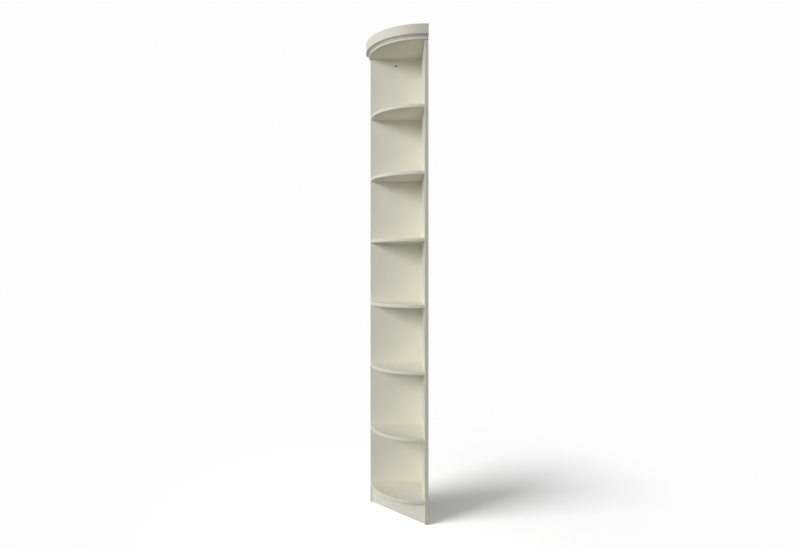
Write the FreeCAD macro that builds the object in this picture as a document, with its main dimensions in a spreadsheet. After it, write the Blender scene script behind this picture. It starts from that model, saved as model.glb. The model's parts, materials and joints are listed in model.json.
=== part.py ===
import FreeCAD, Part
import Sketcher
import os

# Corner shelf unit: two boards that meet in a right angle, seven quarter-round shelves between them,
# a diagonal plinth, and a quarter-round top with a curved stepped cornice.
#
# The origin is on the floor where the two wall faces meet. +Z is up, the back wall is the plane Y = 0,
# the side wall is the plane X = 0, and the unit stands in front of both, towards -X and -Y.
# Every board is drawn about the inner corner, the upright line where the two boards' inner faces meet.

SIZES = (
    ("back_thickness", 18, "board against the back wall"),
    ("side_thickness", 18, "board against the side wall"),
    ("panel_reach", 265, "clear width of both boards, from the inner corner to the free edge"),
    ("panel_arris", 2, "rounding of the boards' free upright edges"),
    ("shelf_thickness", 16, "quarter-round shelves"),
    ("shelf_setback", 3, "shelf rim behind the boards' free edges"),
    ("shelf_arris", 2.5, "rounding of the shelf rim, above and below"),
    ("bay_height", 304, "clear height of each upper bay"),
    ("bottom_bay_height", 280, "clear height of the lowest bay"),
    ("plinth_height", 96, "floor to the underside of the bottom shelf"),
    ("plinth_thickness", 16, "diagonal plinth board"),
    ("plinth_setback", 10, "plinth face behind the boards' free edges, measured along each board"),
    ("batten_size", 20, "square batten behind the plinth"),
    ("batten_length", 200, "length of that batten"),
    ("top_thickness", 16, "quarter-round top board"),
    ("top_overhang", 7, "top board beyond the boards' free edges"),
    ("top_arris", 2.5, "rounding of the top board's lower edge"),
    ("cornice_lap", 3, "how far the cornice hangs over the top board's edge"),
    ("step_width", 5, "lower step of the cornice, beyond the top board's edge"),
    ("step_height", 5.5, "upright face of that step"),
    ("fascia_overhang", 23, "cornice face beyond the boards' free edges"),
    ("fascia_height", 49.5, "upright face of the cornice, with its rounded lower edge"),
    ("fascia_thickness", 18, "cornice wall above its foot"),
    ("fascia_arris", 5.5, "rounding of the cornice's lower edge"),
    ("fascia_top_arris", 2, "rounding of the cornice's upper outer edge"),
    ("foot_width", 20, "foot of the cornice, lying on the top board"),
    ("foot_height", 12, "thickness of that foot"),
    ("wall_hole_drop", 36, "wall fixing below the underside of the top board"),
    ("wall_hole_diameter", 5, "wall fixing, hole for the screw"),
    ("wall_cup_diameter", 10, "wall fixing, recess for the screw head"),
    ("wall_cup_depth", 11, "depth of that recess"),
    ("screw_length", 50, "connecting screw"),
    ("screw_head", 10, "connecting screw, head diameter"),
    ("screw_shank", 7, "connecting screw, plain shank diameter"),
    ("screw_core", 5, "connecting screw, core diameter of the threaded end"),
    ("screw_corner_inset", 60, "connecting screws from the inner corner"),
    ("screw_rim_inset", 62, "connecting screws from the shelf rim"),
    ("small_screw_head", 7, "wood screw, head diameter"),
    ("small_screw_core", 3.5, "wood screw, body diameter"),
    ("cornice_screw_bite", 12, "cornice screw, length in the top board"),
    ("batten_screw_bite", 11, "batten screws, length in the shelf and in the plinth"),
    ("batten_screw_inset", 40, "batten screws from the batten's ends"),
    ("dowel_diameter", 8, "beech dowel"),
    ("dowel_length", 30, "beech dowel"),
    ("dowel_chamfer", 1, "beech dowel, bevel at both ends"),
    ("dowel_panel_depth", 10, "dowel length held in a board's face"),
    ("corner_dowel_rise", 64, "dowels of the corner joint above its screws"),
    ("fit_clearance", 0.1, "between a fastener and its hole, all round"),
    ("end_clearance", 1, "between a fastener's tip and the end of its hole"),
)

SHELF_COUNT = 6
CORNICE_SCREW_COUNT = 5
CORNICE_SCREW_STEP = 90 / CORNICE_SCREW_COUNT
COUNTERSINK_ANGLE = 90
EVEN_SPACING = -1.0
TOUCHING = 1e-4

# Sizes worked out from the driving ones
SHELF_RADIUS = "(Sizes.panel_reach - Sizes.shelf_setback)"
SHELF_MIDDLE = "(Sizes.shelf_thickness / 2)"
SHELF_PITCH = "(Sizes.bay_height + Sizes.shelf_thickness)"
LOWEST_STEP = "(Sizes.bottom_bay_height + Sizes.shelf_thickness)"
LOWEST_SHELF = f"(Sizes.plinth_height + {LOWEST_STEP})"
PANEL_HEIGHT = f"({LOWEST_SHELF} + {SHELF_COUNT} * {SHELF_PITCH})"
PLINTH_FACE = "(Sizes.panel_reach - Sizes.plinth_setback)"
PLINTH_HALF_LENGTH = f"({PLINTH_FACE} / sqrt(2))"
BATTEN_SCREW_SPACING = "(Sizes.batten_length - 2 * Sizes.batten_screw_inset)"
BATTEN_BACK = "(Sizes.plinth_thickness + Sizes.batten_size)"
BATTEN_FLOOR = "(Sizes.plinth_height - Sizes.batten_size)"
TOP_RADIUS = "(Sizes.panel_reach + Sizes.top_overhang)"
FASCIA_RADIUS = "(Sizes.panel_reach + Sizes.fascia_overhang)"
FASCIA_INNER = f"({FASCIA_RADIUS} - Sizes.fascia_thickness)"
FOOT_INNER = f"({FASCIA_INNER} - Sizes.foot_width)"
FOOT_MIDDLE = f"({FASCIA_INNER} - Sizes.foot_width / 2)"
FOOT_TOP = "(Sizes.top_thickness + Sizes.foot_height)"
NEAR_SCREW = "Sizes.screw_corner_inset"
FAR_SCREW = f"({SHELF_RADIUS} - Sizes.screw_rim_inset)"
SCREW_SPACING = f"({FAR_SCREW} - {NEAR_SCREW})"
DOWEL_PLACE = f"(({NEAR_SCREW} + {FAR_SCREW}) / 2)"
DOWEL_BOARD_DEPTH = "(Sizes.dowel_length - Sizes.dowel_panel_depth + Sizes.end_clearance)"
DOWEL_FACE_DEPTH = "(Sizes.dowel_panel_depth + Sizes.end_clearance)"
DOWEL_HOLE = "(Sizes.dowel_diameter + 2 * Sizes.fit_clearance)"
SHANK_HOLE = "(Sizes.screw_shank + 2 * Sizes.fit_clearance)"
HEAD_HOLE = "(Sizes.screw_head + 2 * Sizes.fit_clearance)"
CORE_HOLE = "(Sizes.screw_core + 2 * Sizes.fit_clearance)"
SMALL_HOLE = "(Sizes.small_screw_core + 2 * Sizes.fit_clearance)"
SMALL_HEAD_HOLE = "(Sizes.small_screw_head + 2 * Sizes.fit_clearance)"
BACK_SCREW_DEPTH = "(Sizes.screw_length - Sizes.back_thickness + Sizes.end_clearance)"
SIDE_SCREW_DEPTH = "(Sizes.screw_length - Sizes.side_thickness + Sizes.end_clearance)"
TOP_SCREW_DEPTH = "(Sizes.screw_length - Sizes.top_thickness + Sizes.end_clearance)"
CORNER_SCREW_LOW = "(Sizes.plinth_height + Sizes.shelf_thickness + Sizes.bottom_bay_height / 2)"
CORNER_SCREW_HIGH = f"({LOWEST_SHELF} + Sizes.shelf_thickness + Sizes.bay_height / 2)"
BACK_MIDDLE = "(Sizes.back_thickness / 2)"
SIDE_MIDDLE = "(Sizes.side_thickness / 2)"

# Turned pieces are drawn head up along their own -Z, and these turns point them into the boards
INTO_BACK = FreeCAD.Rotation(FreeCAD.Vector(0, 1, 1), 180)
INTO_SIDE = FreeCAD.Rotation(FreeCAD.Vector(1, 1, 1), 120)
DOWN = FreeCAD.Rotation()
UP = FreeCAD.Rotation(FreeCAD.Vector(1, 0, 0), 180)
ALONG_PLINTH = FreeCAD.Rotation(FreeCAD.Vector(0, 0, 1), -45)
INTO_PLINTH = ALONG_PLINTH.multiply(INTO_BACK)

doc = FreeCAD.newDocument("corner_shelf_unit")
sheet = doc.addObject("Spreadsheet::Sheet", "Sizes")
for row, (alias, value, note) in enumerate(SIZES, start=1):
    sheet.set(f"A{row}", note)
    sheet.set(f"B{row}", str(value))
    sheet.setAlias(f"B{row}", alias)
doc.recompute()


def measure(expression):
    """The present value of an expression of sheet sizes."""
    return float(sheet.evalExpression(expression))


def new_body(label, x="0", y="0", z="0", turn=DOWN):
    """A body whose own origin is at x, y from the inner corner and z above the floor."""
    body = doc.addObject("PartDesign::Body", label)
    body.Label = label
    body.Placement = FreeCAD.Placement(FreeCAD.Vector(), turn)
    body.setExpression("Placement.Base.x", f"{x} - Sizes.side_thickness")
    body.setExpression("Placement.Base.y", f"{y} - Sizes.back_thickness")
    body.setExpression("Placement.Base.z", z)
    return body


def origin_item(body, role):
    return next(item for item in body.Origin.OriginFeatures if item.Role == role)


def sketch_on(body, role, name, lift="0", shift="0"):
    """A sketch on one of the body's own planes, lifted off it and shifted along the sketch's X."""
    sketch = body.newObject("Sketcher::SketchObject", name)
    sketch.AttachmentSupport = (origin_item(body, role), "")
    sketch.MapMode = "FlatFace"
    sketch.setExpression("AttachmentOffset.Base.x", shift)
    sketch.setExpression("AttachmentOffset.Base.z", lift)
    return sketch


def pin_point(sketch, geometry, corner, x, y):
    """Ties a point of the sketch to two expressions, measured from the sketch's origin."""
    for kind, expression, axis in (("DistanceX", x, -2), ("DistanceY", y, -1)):
        if expression == "0":
            sketch.addConstraint(Sketcher.Constraint("PointOnObject", geometry, corner, axis))
        else:
            value = measure(expression)
            index = sketch.addConstraint(Sketcher.Constraint(kind, -1, 1, geometry, corner, value))
            sketch.setExpression(f"Constraints[{index}]", expression)


def polygon(sketch, points):
    """A closed outline of straight edges through points given as pairs of expressions."""
    places = [FreeCAD.Vector(measure(x), measure(y), 0) for x, y in points]
    count = len(points)
    for index in range(count):
        sketch.addGeometry(Part.LineSegment(places[index], places[(index + 1) % count]), False)
    for index in range(count):
        sketch.addConstraint(Sketcher.Constraint("Coincident", index, 2, (index + 1) % count, 1))
    for index, (x, y) in enumerate(points):
        pin_point(sketch, index, 1, x, y)


def circles(sketch, diameter, centres):
    for index, (x, y) in enumerate(centres):
        centre = FreeCAD.Vector(measure(x), measure(y), 0)
        circle = Part.Circle(centre, FreeCAD.Vector(0, 0, 1), measure(diameter) / 2)
        sketch.addGeometry(circle, False)
        pin_point(sketch, index, 3, x, y)
        size = sketch.addConstraint(Sketcher.Constraint("Diameter", index, measure(diameter)))
        sketch.setExpression(f"Constraints[{size}]", diameter)


def quarter_arc(sketch, radius):
    """A quarter circle about the inner corner, from the back board to the side board."""
    reach = measure(radius)
    circle = Part.Circle(FreeCAD.Vector(), FreeCAD.Vector(0, 0, 1), reach)
    start = circle.parameter(FreeCAD.Vector(-reach, 0, 0))
    end = circle.parameter(FreeCAD.Vector(0, -reach, 0))
    arc = sketch.addGeometry(Part.ArcOfCircle(circle, start, end), False)
    sketch.addConstraint(Sketcher.Constraint("Coincident", arc, 3, -1, 1))
    sketch.addConstraint(Sketcher.Constraint("PointOnObject", arc, 1, -1))
    sketch.addConstraint(Sketcher.Constraint("PointOnObject", arc, 2, -2))
    size = sketch.addConstraint(Sketcher.Constraint("Radius", arc, reach))
    sketch.setExpression(f"Constraints[{size}]", radius)
    return arc


def line_from(sketch, geometry, corner, x, y):
    """A straight edge from a point already drawn to a point given by two expressions."""
    start = sketch.getPoint(geometry, corner)
    end = FreeCAD.Vector(measure(x), measure(y), 0)
    line = sketch.addGeometry(Part.LineSegment(start, end), False)
    sketch.addConstraint(Sketcher.Constraint("Coincident", geometry, corner, line, 1))
    pin_point(sketch, line, 2, x, y)
    return line


def pad(body, sketch, length):
    feature = body.newObject("PartDesign::Pad", sketch.Name + "_pad")
    feature.Profile = sketch
    feature.setExpression("Length", length)
    doc.recompute()
    return feature


def pocket(body, sketch, depth, reverse=False):
    """Blind holes. A cut that takes nothing away is an error in the drawing."""
    before = body.Shape.Volume
    feature = body.newObject("PartDesign::Pocket", sketch.Name + "_pocket")
    feature.Profile = sketch
    feature.Reversed = reverse
    feature.setExpression("Length", depth)
    doc.recompute()
    if not body.Shape.Volume < before:
        raise ValueError(f"{feature.Name} cuts nothing")
    return feature


def screw_hole(body, sketch, diameter, head, reverse=False, head_depth=None):
    """Through holes, countersunk for a screw head, or bored flat to head_depth."""
    before = body.Shape.Volume
    doc.recompute()
    feature = body.newObject("PartDesign::Hole", sketch.Name + "_hole")
    feature.Profile = sketch
    feature.ThreadType = "None"
    feature.DepthType = "ThroughAll"
    feature.Reversed = reverse
    feature.setExpression("Diameter", diameter)
    feature.HoleCutType = "Counterbore" if head_depth else "Countersink"
    feature.HoleCutCustomValues = True
    feature.setExpression("HoleCutDiameter", head)
    if head_depth:
        feature.setExpression("HoleCutDepth", head_depth)
    else:
        feature.HoleCutCountersinkAngle = COUNTERSINK_ANGLE
    doc.recompute()
    if not body.Shape.Volume < before:
        raise ValueError(f"{feature.Name} cuts nothing")
    return feature


def repeat(body, feature, *runs):
    """Repeats a feature along one or two straight runs, each an axis, a spacing and a count."""
    pattern = body.newObject("PartDesign::LinearPattern", feature.Name + "_row")
    pattern.Originals = [feature]
    for suffix, (role, spacing, count) in zip(("", "2"), runs):
        setattr(pattern, "Direction" + suffix, (origin_item(body, role), [""]))
        setattr(pattern, "Mode" + suffix, "Spacing")
        pattern.setExpression("Offset" + suffix, spacing)
        setattr(pattern, "Occurrences" + suffix, count)
        setattr(pattern, "Spacings" + suffix, [EVEN_SPACING] * (count - 1))
    body.Tip = pattern
    doc.recompute()
    return pattern


def repeat_round(body, feature, count, step):
    """Repeats a feature about the inner corner, step degrees apart."""
    pattern = body.newObject("PartDesign::PolarPattern", feature.Name + "_ring")
    pattern.Originals = [feature]
    pattern.Axis = (origin_item(body, "Z_Axis"), [""])
    pattern.Mode = "Spacing"
    pattern.Offset = step
    pattern.Occurrences = count
    body.Tip = pattern
    doc.recompute()
    return pattern


def round_edges(body, feature, radius, chosen):
    """Rounds the edges of a feature that the test picks out."""
    edges = [f"Edge{index}" for index, edge in enumerate(feature.Shape.Edges, start=1) if chosen(edge)]
    fillet = body.newObject("PartDesign::Fillet", feature.Name + "_round")
    fillet.Base = (feature, edges)
    fillet.setExpression("Radius", radius)
    doc.recompute()
    return fillet


def lies_at(edge, axis, value):
    """True where the whole edge lies on the plane axis = value."""
    low = getattr(edge.BoundBox, axis + "Min")
    high = getattr(edge.BoundBox, axis + "Max")
    return abs(low - value) < TOUCHING and abs(high - value) < TOUCHING


def make_back_panel():
    """The board against the back wall. It runs on behind the side panel's rear edge."""
    body = new_body("back_panel")
    left = "-Sizes.panel_reach"
    plan = sketch_on(body, "XY_Plane", "back_panel_plan")
    polygon(plan, [(left, "0"), ("Sizes.side_thickness", "0"),
                   ("Sizes.side_thickness", "Sizes.back_thickness"), (left, "Sizes.back_thickness")])
    board = pad(body, plan, PANEL_HEIGHT)
    free_edge = measure(left)

    def is_upright_arris(edge):
        return lies_at(edge, "X", free_edge) and edge.BoundBox.ZLength > edge.BoundBox.YLength

    round_edges(body, board, "Sizes.panel_arris", is_upright_arris)

    rear = "-Sizes.back_thickness"
    low = sketch_on(body, "XZ_Plane", "back_panel_low_screw", lift=rear)
    circles(low, SHANK_HOLE, [(f"-{FAR_SCREW}", f"Sizes.plinth_height + {SHELF_MIDDLE}")])
    hole = screw_hole(body, low, SHANK_HOLE, HEAD_HOLE, reverse=True)
    repeat(body, hole, ("X_Axis", SCREW_SPACING, 2))
    high = sketch_on(body, "XZ_Plane", "back_panel_screw", lift=rear)
    circles(high, SHANK_HOLE, [(f"-{FAR_SCREW}", f"{LOWEST_SHELF} + {SHELF_MIDDLE}")])
    hole = screw_hole(body, high, SHANK_HOLE, HEAD_HOLE, reverse=True)
    repeat(body, hole, ("X_Axis", SCREW_SPACING, 2), ("Z_Axis", SHELF_PITCH, SHELF_COUNT))

    corner_low = sketch_on(body, "XZ_Plane", "back_panel_low_corner_screw", lift=rear)
    circles(corner_low, SHANK_HOLE, [(SIDE_MIDDLE, CORNER_SCREW_LOW)])
    screw_hole(body, corner_low, SHANK_HOLE, HEAD_HOLE, reverse=True)
    corner = sketch_on(body, "XZ_Plane", "back_panel_corner_screw", lift=rear)
    circles(corner, SHANK_HOLE, [(SIDE_MIDDLE, CORNER_SCREW_HIGH)])
    hole = screw_hole(body, corner, SHANK_HOLE, HEAD_HOLE, reverse=True)
    repeat(body, hole, ("Z_Axis", SHELF_PITCH, SHELF_COUNT))

    low = sketch_on(body, "XZ_Plane", "back_panel_low_dowels")
    circles(low, DOWEL_HOLE, [(f"-{DOWEL_PLACE}", f"Sizes.plinth_height + {SHELF_MIDDLE}"),
                              (SIDE_MIDDLE, f"{CORNER_SCREW_LOW} + Sizes.corner_dowel_rise")])
    pocket(body, low, DOWEL_FACE_DEPTH)
    high = sketch_on(body, "XZ_Plane", "back_panel_dowels")
    circles(high, DOWEL_HOLE, [(f"-{DOWEL_PLACE}", f"{LOWEST_SHELF} + {SHELF_MIDDLE}"),
                               (SIDE_MIDDLE, f"{CORNER_SCREW_HIGH} + Sizes.corner_dowel_rise")])
    repeat(body, pocket(body, high, DOWEL_FACE_DEPTH), ("Z_Axis", SHELF_PITCH, SHELF_COUNT))

    ends = sketch_on(body, "XY_Plane", "back_panel_top_screws", lift=PANEL_HEIGHT)
    circles(ends, CORE_HOLE, [(f"-{NEAR_SCREW}", BACK_MIDDLE), (f"-{FAR_SCREW}", BACK_MIDDLE)])
    pocket(body, ends, TOP_SCREW_DEPTH)
    ends = sketch_on(body, "XY_Plane", "back_panel_top_dowel", lift=PANEL_HEIGHT)
    circles(ends, DOWEL_HOLE, [(f"-{DOWEL_PLACE}", BACK_MIDDLE)])
    pocket(body, ends, DOWEL_BOARD_DEPTH)

    wall = sketch_on(body, "XZ_Plane", "back_panel_wall_fixing")
    circles(wall, "Sizes.wall_hole_diameter",
            [("-Sizes.panel_reach / 2", f"{PANEL_HEIGHT} - Sizes.wall_hole_drop")])
    screw_hole(body, wall, "Sizes.wall_hole_diameter", "Sizes.wall_cup_diameter",
               head_depth="Sizes.wall_cup_depth")
    return body


def make_side_panel():
    """The board against the side wall, butted against the front of the back panel."""
    body = new_body("side_panel")
    front = "-Sizes.panel_reach"
    plan = sketch_on(body, "XY_Plane", "side_panel_plan")
    polygon(plan, [("0", front), ("Sizes.side_thickness", front),
                   ("Sizes.side_thickness", "0"), ("0", "0")])
    board = pad(body, plan, PANEL_HEIGHT)
    free_edge = measure(front)

    def is_upright_arris(edge):
        return lies_at(edge, "Y", free_edge) and edge.BoundBox.ZLength > edge.BoundBox.XLength

    round_edges(body, board, "Sizes.panel_arris", is_upright_arris)

    outside = "Sizes.side_thickness"
    low = sketch_on(body, "YZ_Plane", "side_panel_low_screw", lift=outside)
    circles(low, SHANK_HOLE, [(f"-{FAR_SCREW}", f"Sizes.plinth_height + {SHELF_MIDDLE}")])
    hole = screw_hole(body, low, SHANK_HOLE, HEAD_HOLE)
    repeat(body, hole, ("Y_Axis", SCREW_SPACING, 2))
    high = sketch_on(body, "YZ_Plane", "side_panel_screw", lift=outside)
    circles(high, SHANK_HOLE, [(f"-{FAR_SCREW}", f"{LOWEST_SHELF} + {SHELF_MIDDLE}")])
    hole = screw_hole(body, high, SHANK_HOLE, HEAD_HOLE)
    repeat(body, hole, ("Y_Axis", SCREW_SPACING, 2), ("Z_Axis", SHELF_PITCH, SHELF_COUNT))

    low = sketch_on(body, "YZ_Plane", "side_panel_low_dowel")
    circles(low, DOWEL_HOLE, [(f"-{DOWEL_PLACE}", f"Sizes.plinth_height + {SHELF_MIDDLE}")])
    pocket(body, low, DOWEL_FACE_DEPTH, reverse=True)
    high = sketch_on(body, "YZ_Plane", "side_panel_dowel")
    circles(high, DOWEL_HOLE, [(f"-{DOWEL_PLACE}", f"{LOWEST_SHELF} + {SHELF_MIDDLE}")])
    hole = pocket(body, high, DOWEL_FACE_DEPTH, reverse=True)
    repeat(body, hole, ("Z_Axis", SHELF_PITCH, SHELF_COUNT))

    rear_fixings = (
        ("screw", CORE_HOLE, BACK_SCREW_DEPTH, "0"),
        ("dowel", DOWEL_HOLE, DOWEL_BOARD_DEPTH, "Sizes.corner_dowel_rise"),
    )
    for kind, diameter, depth, rise in rear_fixings:
        low = sketch_on(body, "XZ_Plane", f"side_panel_low_rear_{kind}")
        circles(low, diameter, [(SIDE_MIDDLE, f"{CORNER_SCREW_LOW} + {rise}")])
        pocket(body, low, depth, reverse=True)
        high = sketch_on(body, "XZ_Plane", f"side_panel_rear_{kind}")
        circles(high, diameter, [(SIDE_MIDDLE, f"{CORNER_SCREW_HIGH} + {rise}")])
        hole = pocket(body, high, depth, reverse=True)
        repeat(body, hole, ("Z_Axis", SHELF_PITCH, SHELF_COUNT))

    ends = sketch_on(body, "XY_Plane", "side_panel_top_screws", lift=PANEL_HEIGHT)
    circles(ends, CORE_HOLE, [(SIDE_MIDDLE, f"-{NEAR_SCREW}"), (SIDE_MIDDLE, f"-{FAR_SCREW}")])
    pocket(body, ends, TOP_SCREW_DEPTH)
    ends = sketch_on(body, "XY_Plane", "side_panel_top_dowel", lift=PANEL_HEIGHT)
    circles(ends, DOWEL_HOLE, [(SIDE_MIDDLE, f"-{DOWEL_PLACE}")])
    pocket(body, ends, DOWEL_BOARD_DEPTH)
    return body


def make_shelf(label, height, batten_below=False):
    """A quarter-round board with a softly rounded rim, drilled along its two straight edges."""
    body = new_body(label, z=height)
    plan = sketch_on(body, "XY_Plane", label + "_plan")
    rim = quarter_arc(plan, SHELF_RADIUS)
    to_corner = line_from(plan, rim, 2, "0", "0")
    closing = Part.LineSegment(plan.getPoint(to_corner, 2), plan.getPoint(rim, 1))
    back = plan.addGeometry(closing, False)
    plan.addConstraint(Sketcher.Constraint("Coincident", to_corner, 2, back, 1))
    plan.addConstraint(Sketcher.Constraint("Coincident", back, 2, rim, 1))
    board = pad(body, plan, "Sizes.shelf_thickness")
    round_edges(body, board, "Sizes.shelf_arris", lambda edge: isinstance(edge.Curve, Part.Circle))

    edges = (
        ("back", "XZ_Plane", BACK_SCREW_DEPTH, True),
        ("side", "YZ_Plane", SIDE_SCREW_DEPTH, False),
    )
    for edge, role, screw_depth, reverse in edges:
        screws = sketch_on(body, role, f"{label}_{edge}_screws")
        circles(screws, CORE_HOLE, [(f"-{NEAR_SCREW}", SHELF_MIDDLE), (f"-{FAR_SCREW}", SHELF_MIDDLE)])
        pocket(body, screws, screw_depth, reverse=reverse)
        dowel = sketch_on(body, role, f"{label}_{edge}_dowel")
        circles(dowel, DOWEL_HOLE, [(f"-{DOWEL_PLACE}", SHELF_MIDDLE)])
        pocket(body, dowel, DOWEL_BOARD_DEPTH, reverse=reverse)

    if batten_below:
        middle = f"(-{PLINTH_FACE} / 2 + (Sizes.plinth_thickness + Sizes.batten_size / 2) / sqrt(2))"
        half = f"({BATTEN_SCREW_SPACING} / 2 / sqrt(2))"
        screws = sketch_on(body, "XY_Plane", label + "_batten_screws")
        circles(screws, SMALL_HOLE, [(f"{middle} - {half}", f"{middle} + {half}"),
                                     (f"{middle} + {half}", f"{middle} - {half}")])
        pocket(body, screws, "Sizes.batten_screw_bite + Sizes.end_clearance", reverse=True)
    return body


def make_plinth_board():
    """The straight board across the corner, mitred at both ends against the two panels."""
    body = new_body("plinth_board", x=f"-{PLINTH_FACE} / 2", y=f"-{PLINTH_FACE} / 2", turn=ALONG_PLINTH)
    inner_half = f"({PLINTH_HALF_LENGTH} - Sizes.plinth_thickness)"
    plan = sketch_on(body, "XY_Plane", "plinth_board_plan")
    polygon(plan, [(f"-{PLINTH_HALF_LENGTH}", "0"), (PLINTH_HALF_LENGTH, "0"),
                   (inner_half, "Sizes.plinth_thickness"), (f"-{inner_half}", "Sizes.plinth_thickness")])
    pad(body, plan, "Sizes.plinth_height")
    screws = sketch_on(body, "XZ_Plane", "plinth_board_screws", lift="-Sizes.plinth_thickness")
    height = f"({BATTEN_FLOOR} + Sizes.batten_size / 2)"
    apart = f"({BATTEN_SCREW_SPACING} / 2 - Sizes.batten_size / 2)"
    circles(screws, SMALL_HOLE, [(f"-{apart}", height), (apart, height)])
    pocket(body, screws, "Sizes.batten_screw_bite + Sizes.end_clearance", reverse=True)
    return body


def make_plinth_batten():
    """The square batten in the angle between the plinth and the bottom shelf."""
    body = new_body("plinth_batten", x=f"-{PLINTH_FACE} / 2", y=f"-{PLINTH_FACE} / 2",
                    z=BATTEN_FLOOR, turn=ALONG_PLINTH)
    half = "(Sizes.batten_length / 2)"
    plan = sketch_on(body, "XY_Plane", "plinth_batten_plan")
    polygon(plan, [(f"-{half}", "Sizes.plinth_thickness"), (half, "Sizes.plinth_thickness"),
                   (half, BATTEN_BACK), (f"-{half}", BATTEN_BACK)])
    pad(body, plan, "Sizes.batten_size")
    upward = sketch_on(body, "XY_Plane", "plinth_batten_shelf_screws")
    depth = "(Sizes.plinth_thickness + Sizes.batten_size / 2)"
    circles(upward, SMALL_HOLE, [(f"-{BATTEN_SCREW_SPACING} / 2", depth),
                                 (f"{BATTEN_SCREW_SPACING} / 2", depth)])
    screw_hole(body, upward, SMALL_HOLE, SMALL_HEAD_HOLE, reverse=True)
    forward = sketch_on(body, "XZ_Plane", "plinth_batten_plinth_screws", lift=f"-{BATTEN_BACK}")
    apart = f"({BATTEN_SCREW_SPACING} / 2 - Sizes.batten_size / 2)"
    circles(forward, SMALL_HOLE, [(f"-{apart}", "Sizes.batten_size / 2"),
                                  (apart, "Sizes.batten_size / 2")])
    screw_hole(body, forward, SMALL_HOLE, SMALL_HEAD_HOLE, reverse=True)
    return body


def make_top_panel():
    """The quarter-round board on top, with straight returns over the two panels' top ends."""
    body = new_body("top_panel", z=PANEL_HEIGHT)
    plan = sketch_on(body, "XY_Plane", "top_panel_plan")
    rim = quarter_arc(plan, TOP_RADIUS)
    side_return = line_from(plan, rim, 2, "Sizes.side_thickness", f"-{TOP_RADIUS}")
    side_edge = line_from(plan, side_return, 2, "Sizes.side_thickness", "Sizes.back_thickness")
    back_edge = line_from(plan, side_edge, 2, f"-{TOP_RADIUS}", "Sizes.back_thickness")
    closing = Part.LineSegment(plan.getPoint(back_edge, 2), plan.getPoint(rim, 1))
    back_return = plan.addGeometry(closing, False)
    plan.addConstraint(Sketcher.Constraint("Coincident", back_edge, 2, back_return, 1))
    plan.addConstraint(Sketcher.Constraint("Coincident", back_return, 2, rim, 1))
    board = pad(body, plan, "Sizes.top_thickness")
    rim_edge = -measure(TOP_RADIUS)

    def is_lower_rim(edge):
        on_rim = lies_at(edge, "X", rim_edge) or lies_at(edge, "Y", rim_edge)
        return lies_at(edge, "Z", 0) and (on_rim or isinstance(edge.Curve, Part.Circle))

    round_edges(body, board, "Sizes.top_arris", is_lower_rim)

    above = sketch_on(body, "XY_Plane", "top_panel_screws_above", lift="Sizes.top_thickness")
    circles(above, SHANK_HOLE, [(f"-{NEAR_SCREW}", BACK_MIDDLE), (f"-{FAR_SCREW}", BACK_MIDDLE),
                                (SIDE_MIDDLE, f"-{NEAR_SCREW}"), (SIDE_MIDDLE, f"-{FAR_SCREW}")])
    screw_hole(body, above, SHANK_HOLE, HEAD_HOLE)
    below = sketch_on(body, "XY_Plane", "top_panel_dowels_below")
    circles(below, DOWEL_HOLE, [(f"-{DOWEL_PLACE}", BACK_MIDDLE), (SIDE_MIDDLE, f"-{DOWEL_PLACE}")])
    pocket(body, below, DOWEL_FACE_DEPTH, reverse=True)

    ring = sketch_on(body, "XY_Plane", "top_panel_cornice_screws", lift="Sizes.top_thickness")
    circles(ring, SMALL_HOLE, [first_cornice_screw()])
    hole = pocket(body, ring, "Sizes.cornice_screw_bite + Sizes.end_clearance")
    repeat_round(body, hole, CORNICE_SCREW_COUNT, CORNICE_SCREW_STEP)
    return body


def first_cornice_screw():
    """Place of the cornice screw nearest the back wall, half a step round from the back board."""
    angle = f"{CORNICE_SCREW_STEP / 2} deg"
    return f"-{FOOT_MIDDLE} * cos({angle})", f"-{FOOT_MIDDLE} * sin({angle})"


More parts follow.
